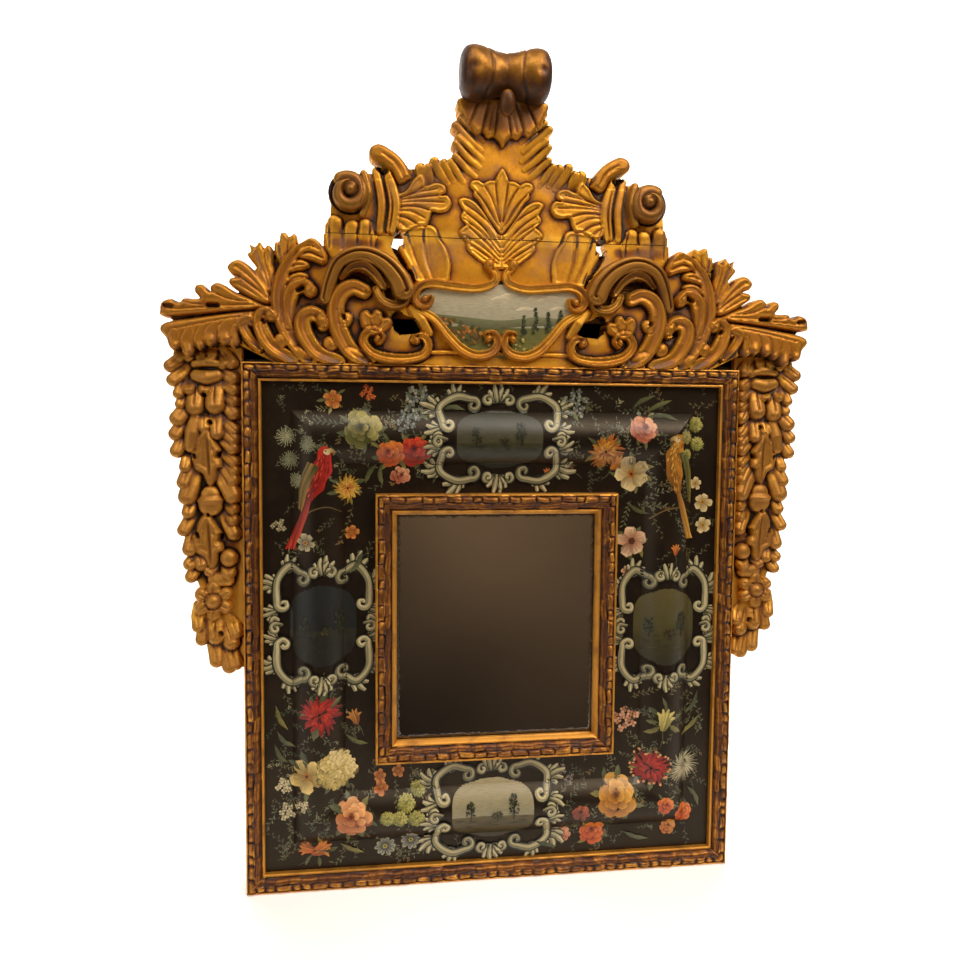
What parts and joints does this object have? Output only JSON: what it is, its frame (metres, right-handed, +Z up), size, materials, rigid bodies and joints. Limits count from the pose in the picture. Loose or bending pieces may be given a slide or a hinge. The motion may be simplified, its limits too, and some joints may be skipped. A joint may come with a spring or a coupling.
{
  "type": "pediment mirror",
  "caption": "Wall mirror in a wide painted frame with gilt mouldings, a carved gilt crest and finial, and carved gilt side wings; glass held from behind by turn buttons.",
  "frame": {"origin": "middle of the frame's bottom edge, on the wall plane", "axes": "+X to the viewer's right, +Y into the wall, +Z up; the front faces -Y"},
  "size_m": [0.975, 0.1151, 1.261],
  "materials": {
    "gilt_wood": "carved limewood, gilded with leaf over red-brown bole and worn in the hollows",
    "painted_wood": "near-black brown ground with flowers and scrolls painted in oil, satin varnish",
    "painted_panel": "small landscape in oil, satin varnish",
    "mirror_glass": "old plate glass, tinned and lightly foxed",
    "blackened_pine": "pine, stained black where it shows",
    "pine": "aged bare pine",
    "brass": "dull cast brass",
    "iron": "dark wrought iron"
  },
  "bodies": {
    "mirror": {"back_bottom_rail": "pine", "back_stile_left": "pine", "back_stile_right": "pine", "back_top_rail": "blackened_pine", "backboard": "pine", "c_scroll_left": "gilt_wood", "c_scroll_right": "gilt_wood", "cartouche_lower_scroll_left": "gilt_wood", "cartouche_lower_scroll_right": "gilt_wood", "cartouche_panel": "painted_panel", "cartouche_upper_scroll_left": "gilt_wood", "cartouche_upper_scroll_right": "gilt_wood", "corner_pegs": "pine", "crest_batten_left": "pine", "crest_batten_right": "pine", "crest_dowels": "pine", "crest_lower_board": "gilt_wood", "crest_screws": "iron", "crest_upper_board": "gilt_wood", "finial": "gilt_wood", "hanger_plate_left": "iron", "hanger_plate_right": "iron", "hanger_screws": "iron", "inner_gilt_bottom": "gilt_wood", "inner_gilt_left": "gilt_wood", "inner_gilt_right": "gilt_wood", "inner_gilt_top": "gilt_wood", "mirror_glass": "mirror_glass", "moulding_screws": "iron", "outer_gilt_bottom": "gilt_wood", "outer_gilt_left": "gilt_wood", "outer_gilt_right": "gilt_wood", "outer_gilt_top": "gilt_wood", "painted_moulding_bottom": "painted_wood", "painted_moulding_left": "painted_wood", "painted_moulding_right": "painted_wood", "painted_moulding_top": "painted_wood", "turn_button_screws": "iron", "volute_left": "gilt_wood", "volute_right": "gilt_wood", "wing_cleat_lower_left": "pine", "wing_cleat_lower_right": "pine", "wing_cleat_upper_left": "pine", "wing_cleat_upper_right": "pine", "wing_left": "gilt_wood", "wing_right": "gilt_wood", "wing_rosette_left": "gilt_wood", "wing_rosette_right": "gilt_wood", "wing_screws": "iron"},
    "button_1": {"turn_button_1": "brass"},
    "button_2": {"turn_button_2": "brass"},
    "button_3": {"turn_button_3": "brass"},
    "button_4": {"turn_button_4": "brass"},
    "button_5": {"turn_button_5": "brass"},
    "button_6": {"turn_button_6": "brass"}
  },
  "joints": [
    {"name": "button_1_turn", "type": "hinge", "parent": "mirror", "child": "button_1", "pos_m": [-0.18, -0.02295, 0.28], "axis": [0, 1, 0], "continuous": true},
    {"name": "button_2_turn", "type": "hinge", "parent": "mirror", "child": "button_2", "pos_m": [-0.18, -0.02295, 0.52], "axis": [0, 1, 0], "continuous": true},
    {"name": "button_3_turn", "type": "hinge", "parent": "mirror", "child": "button_3", "pos_m": [0.18, -0.02295, 0.28], "axis": [0, 1, 0], "continuous": true},
    {"name": "button_4_turn", "type": "hinge", "parent": "mirror", "child": "button_4", "pos_m": [0.18, -0.02295, 0.52], "axis": [0, 1, 0], "continuous": true},
    {"name": "button_5_turn", "type": "hinge", "parent": "mirror", "child": "button_5", "pos_m": [0, -0.02295, 0.6], "axis": [0, 1, 0], "continuous": true},
    {"name": "button_6_turn", "type": "hinge", "parent": "mirror", "child": "button_6", "pos_m": [0, -0.02295, 0.2], "axis": [0, 1, 0], "continuous": true}
  ]
}
